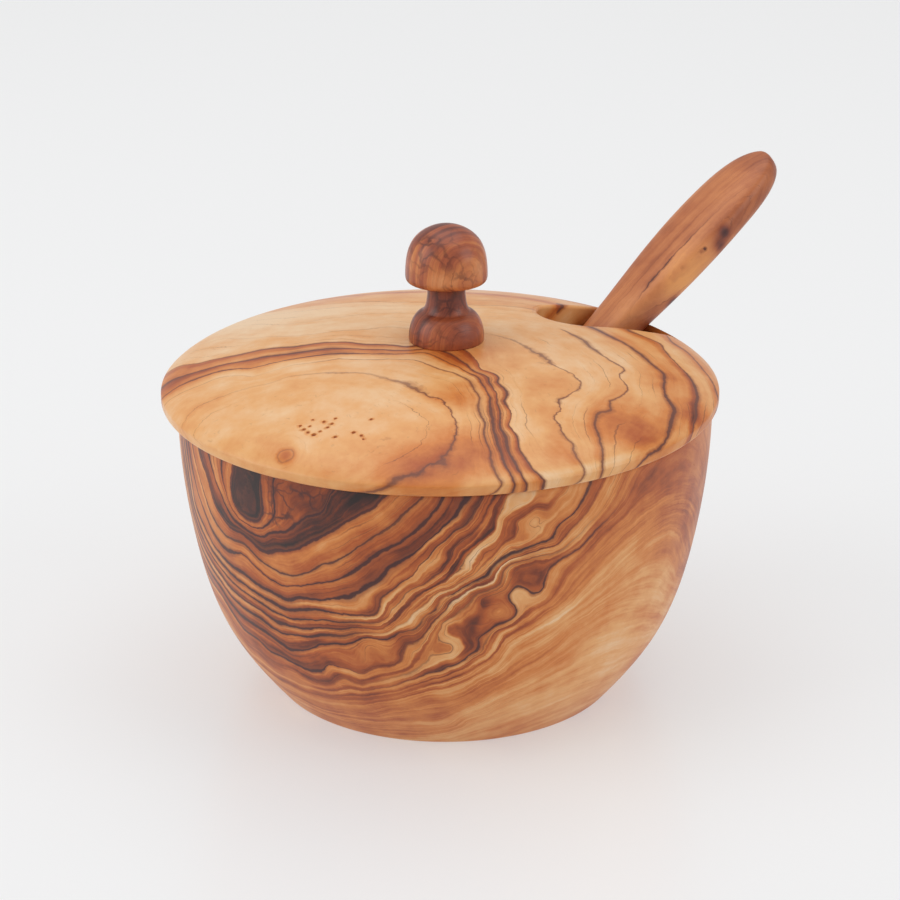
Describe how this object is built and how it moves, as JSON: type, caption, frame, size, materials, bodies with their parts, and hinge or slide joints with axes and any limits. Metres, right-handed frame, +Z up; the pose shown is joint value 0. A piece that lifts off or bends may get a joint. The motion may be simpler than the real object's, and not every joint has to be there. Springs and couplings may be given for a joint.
{
  "type": "spice jar",
  "caption": "Round turned wooden jar with a loose domed lid, a mushroom knob and a carved spoon that leans out through a notch in the lid.",
  "frame": {"origin": "centre of the bowl's flat foot, on the surface it stands on", "axes": "+Z up along the bowl's turning axis, +X to the right and +Y away as the picture shows the jar"},
  "size_m": [0.1315, 0.1177, 0.0987],
  "materials": {
    "bowl_wood": "oiled, satin, strongly figured brown and orange grain",
    "lid_wood": "oiled, satin, pale tan with dark wavy grain lines",
    "knob_wood": "oiled, satin, dark reddish brown",
    "screw_metal": "bright plated",
    "spoon_wood": "oiled, satin, reddish brown straight grain"
  },
  "bodies": {
    "bowl": {"bowl": "bowl_wood"},
    "lid": {"lid": "lid_wood", "knob": "knob_wood", "knob_screw": "screw_metal"},
    "spoon": {"spoon": "spoon_wood"}
  },
  "joints": [
    {"name": "lid_lift", "type": "slide", "parent": "bowl", "child": "lid", "axis": [0, 0, 1], "range_m": [0, 0.06]},
    {"name": "spoon_draw", "type": "slide", "parent": "bowl", "child": "spoon", "axis": [0.6443, 0.4346, 0.6293], "range_m": [0, 0.12]}
  ]
}
